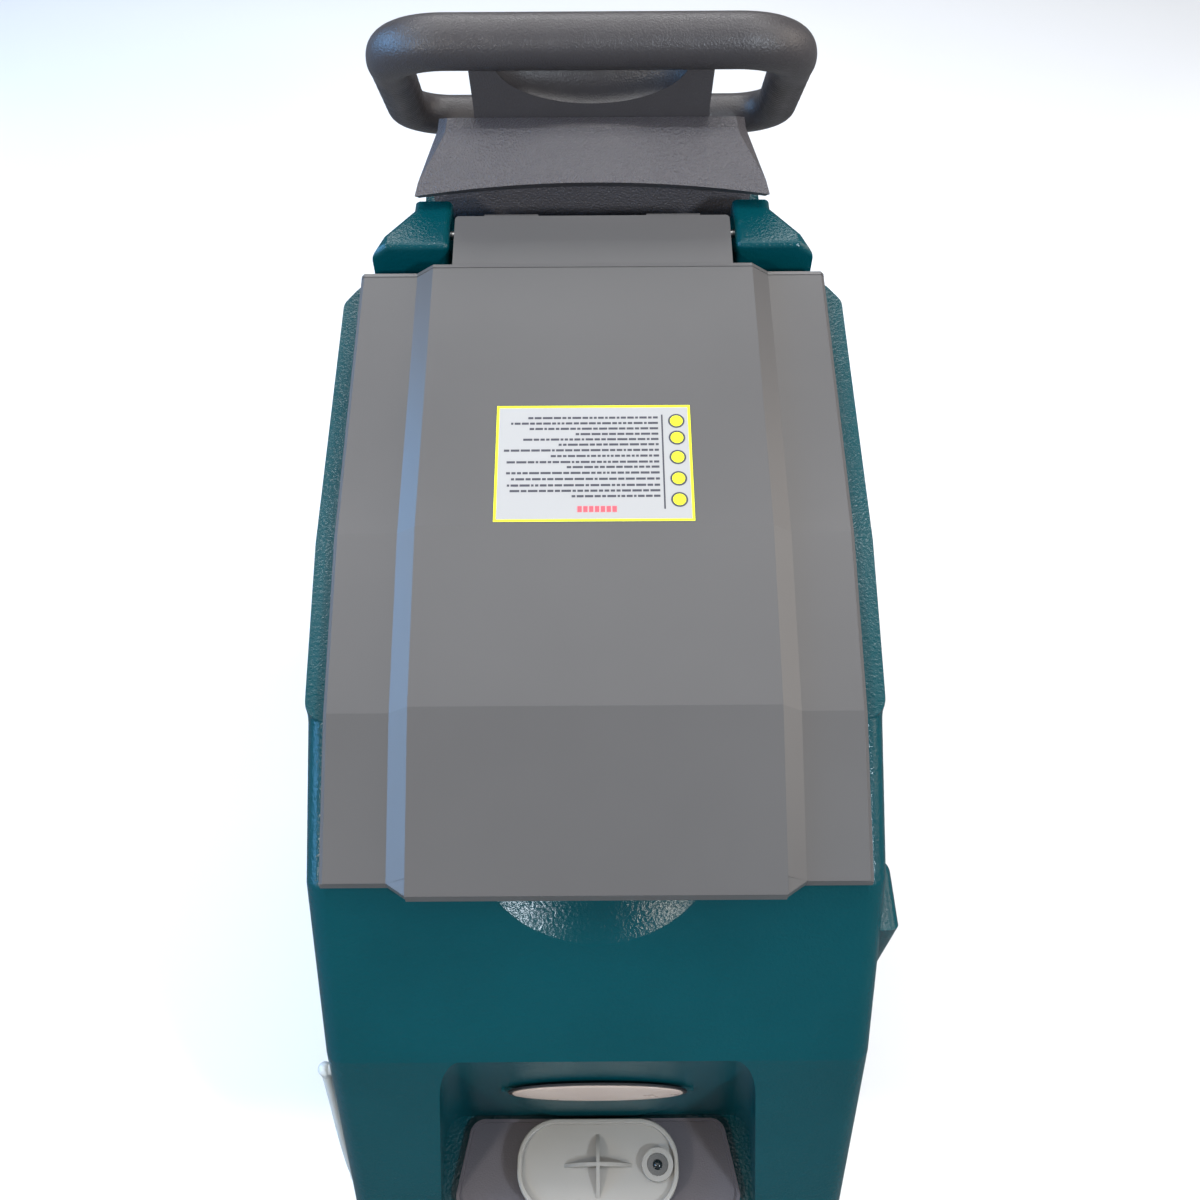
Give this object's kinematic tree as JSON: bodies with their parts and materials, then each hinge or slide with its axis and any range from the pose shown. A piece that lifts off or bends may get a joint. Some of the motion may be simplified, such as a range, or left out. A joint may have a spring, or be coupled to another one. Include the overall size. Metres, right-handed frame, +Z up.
{
  "type": "floor scrubber machine",
  "caption": "Walk-behind battery floor scrubber: moulded tank body, hinged lid, handle ring with controls, scrub deck that lifts, bowed squeegee, drive wheels and casters.",
  "frame": {"origin": "on the floor under the middle of the whole machine", "axes": "+Z up, +Y towards the operator and the handle, -Y the front, +X across"},
  "size_m": [0.6768, 1.116, 0.9835],
  "materials": {
    "teal_plastic": "rotomoulded, orange-peel grain",
    "lid_grey": "satin injection moulded",
    "hood_grey": "leather grain",
    "handle_grey": "fine grain",
    "cap_grey": "satin",
    "tray_grey": "fine grain",
    "tank_plastic": "translucent natural",
    "notice_film": "printed film",
    "black_plastic": "fine grain",
    "display_screen": "glossy",
    "button_plastic": "satin",
    "stop_red": "gloss",
    "black_rubber": "matt",
    "hose_grey": "ribbed",
    "clear_hose": "translucent",
    "frame_paint": "powder coat",
    "bright_steel": "zinc plated",
    "squeegee_alloy": "cast",
    "wheel_grey": "moulded",
    "tyre_rubber": "matt",
    "brush_disc_plastic": "moulded",
    "bristle_nylon": "tufted nylon"
  },
  "bodies": {
    "machine": {"main_body": "teal_plastic", "lid_hinge_pin": "bright_steel", "recovery_tank": "tank_plastic", "tank_gasket": "black_rubber", "float_cage": "black_plastic", "vacuum_motor": "black_plastic", "solution_tank": "tank_plastic", "battery_shelf": "frame_paint", "battery_left": "black_plastic", "battery_right": "black_plastic", "filler_tray": "tray_grey", "front_badge": "notice_film", "handle_ring": "handle_grey", "control_housing": "handle_grey", "hood": "hood_grey", "control_panel": "black_plastic", "display": "display_screen", "key_switch": "black_plastic", "level_hose": "clear_hose", "level_fittings": "black_plastic", "drain_hose": "hose_grey", "drain_elbow": "black_plastic", "drain_plug": "black_plastic", "hose_clip": "handle_grey", "suction_hose": "hose_grey", "suction_elbow": "black_plastic", "chassis": "frame_paint", "drive_axle": "bright_steel", "transaxle": "frame_paint", "lever_bracket": "frame_paint"},
    "lid": {"lid": "lid_grey", "lid_notice": "notice_film"},
    "filler_cap": {"filler_cap": "cap_grey", "cap_vent": "black_plastic"},
    "button_brush": {"button_brush": "button_plastic"},
    "button_vacuum": {"button_vacuum": "button_plastic"},
    "button_water": {"button_water": "button_plastic"},
    "key": {"key": "bright_steel"},
    "flow_dial": {"flow_dial": "black_plastic"},
    "stop_button": {"stop_button": "stop_red"},
    "drive_paddle_left": {"drive_paddle_left": "black_plastic"},
    "drive_paddle_right": {"drive_paddle_right": "black_plastic"},
    "wheel_left": {"wheel_left": "wheel_grey", "tyre_left": "tyre_rubber"},
    "wheel_right": {"wheel_right": "wheel_grey", "tyre_right": "tyre_rubber"},
    "caster_left": {"caster_fork_left": "bright_steel"},
    "caster_right": {"caster_fork_right": "bright_steel"},
    "caster_wheel_left": {"caster_wheel_left": "wheel_grey"},
    "caster_wheel_right": {"caster_wheel_right": "wheel_grey"},
    "deck": {"deck_plate": "frame_paint", "deck_skirt": "black_rubber", "brush_motor": "frame_paint"},
    "brush": {"brush_disc": "brush_disc_plastic", "brush_bristles": "bristle_nylon"},
    "deck_pedal": {"deck_pedal": "frame_paint"},
    "squeegee": {"squeegee_body": "squeegee_alloy", "squeegee_blades": "black_rubber", "squeegee_knobs": "black_plastic"},
    "squeegee_lever": {"squeegee_lever": "frame_paint"}
  },
  "joints": [
    {"name": "lid_hinge", "type": "hinge", "parent": "machine", "child": "lid", "pos_m": [0, 0.272, 0.826], "axis": [-1, 0, 0], "range_deg": [0, 78]},
    {"name": "cap_lift", "type": "slide", "parent": "machine", "child": "filler_cap", "axis": [0, 0, 1], "range_m": [0, 0.06]},
    {"name": "wheel_left_spin", "type": "hinge", "parent": "machine", "child": "wheel_left", "pos_m": [0.176, 0.06, 0.1], "axis": [1, 0, 0], "continuous": true},
    {"name": "wheel_right_spin", "type": "hinge", "parent": "machine", "child": "wheel_right", "pos_m": [-0.176, 0.06, 0.1], "axis": [1, 0, 0], "continuous": true},
    {"name": "caster_left_swivel", "type": "hinge", "parent": "machine", "child": "caster_left", "pos_m": [0.112, 0.318, 0.1], "axis": [0, 0, 1], "continuous": true},
    {"name": "caster_right_swivel", "type": "hinge", "parent": "machine", "child": "caster_right", "pos_m": [-0.112, 0.318, 0.1], "axis": [0, 0, 1], "continuous": true},
    {"name": "caster_left_spin", "type": "hinge", "parent": "caster_left", "child": "caster_wheel_left", "pos_m": [0.112, 0.344, 0.04], "axis": [1, 0, 0], "continuous": true},
    {"name": "caster_right_spin", "type": "hinge", "parent": "caster_right", "child": "caster_wheel_right", "pos_m": [-0.112, 0.344, 0.04], "axis": [1, 0, 0], "continuous": true},
    {"name": "deck_lift", "type": "hinge", "parent": "machine", "child": "deck", "pos_m": [0, -0.07, 0.15], "axis": [-1, 0, 0], "range_deg": [0, 6]},
    {"name": "brush_spin", "type": "hinge", "parent": "deck", "child": "brush", "pos_m": [0, -0.324, 0.041], "axis": [0, 0, 1], "continuous": true},
    {"name": "pedal_press", "type": "hinge", "parent": "machine", "child": "deck_pedal", "pos_m": [-0.134, 0.205, 0.198], "axis": [-1, 0, 0], "range_deg": [0, 12]},
    {"name": "squeegee_lift", "type": "hinge", "parent": "machine", "child": "squeegee", "pos_m": [0, 0.372, 0.165], "axis": [1, 0, 0], "range_deg": [0, 10], "deforming": ["suction_hose"]},
    {"name": "squeegee_lever_lift", "type": "hinge", "parent": "machine", "child": "squeegee_lever", "pos_m": [-0.112, 0.452, 0.64], "axis": [1, 0, 0], "range_deg": [0, 50]},
    {"name": "key_turn", "type": "hinge", "parent": "machine", "child": "key", "pos_m": [-0.066, 0.48845, 0.83167], "axis": [0, 0.7292, 0.6843], "range_deg": [0, 60]},
    {"name": "flow_dial_turn", "type": "hinge", "parent": "machine", "child": "flow_dial", "pos_m": [0, 0.48845, 0.83167], "axis": [0, 0.7292, 0.6843], "range_deg": [-135, 135]},
    {"name": "stop_press", "type": "slide", "parent": "machine", "child": "stop_button", "axis": [0, -0.7292, -0.6843], "range_m": [0, 0.004], "stiffness_N_per_m": 900},
    {"name": "paddle_left_press", "type": "hinge", "parent": "machine", "child": "drive_paddle_left", "pos_m": [0.058, 0.40522, 0.92911], "axis": [-1, 0, 0], "range_deg": [0, 10], "stiffness_Nm_per_rad": 0.4},
    {"name": "paddle_right_press", "type": "hinge", "parent": "machine", "child": "drive_paddle_right", "pos_m": [-0.058, 0.40522, 0.92911], "axis": [-1, 0, 0], "range_deg": [0, 10], "stiffness_Nm_per_rad": 0.4},
    {"name": "button_brush_press", "type": "slide", "parent": "machine", "child": "button_brush", "axis": [0, -0.7292, -0.6843], "range_m": [0, 0.0015], "stiffness_N_per_m": 500},
    {"name": "button_vacuum_press", "type": "slide", "parent": "machine", "child": "button_vacuum", "axis": [0, -0.7292, -0.6843], "range_m": [0, 0.0015], "stiffness_N_per_m": 500},
    {"name": "button_water_press", "type": "slide", "parent": "machine", "child": "button_water", "axis": [0, -0.7292, -0.6843], "range_m": [0, 0.0015], "stiffness_N_per_m": 500}
  ],
  "couplings": [
    {"joint": "pedal_press", "follows": "deck_lift", "ratio": 2},
    {"joint": "squeegee_lever_lift", "follows": "squeegee_lift", "ratio": 5}
  ]
}
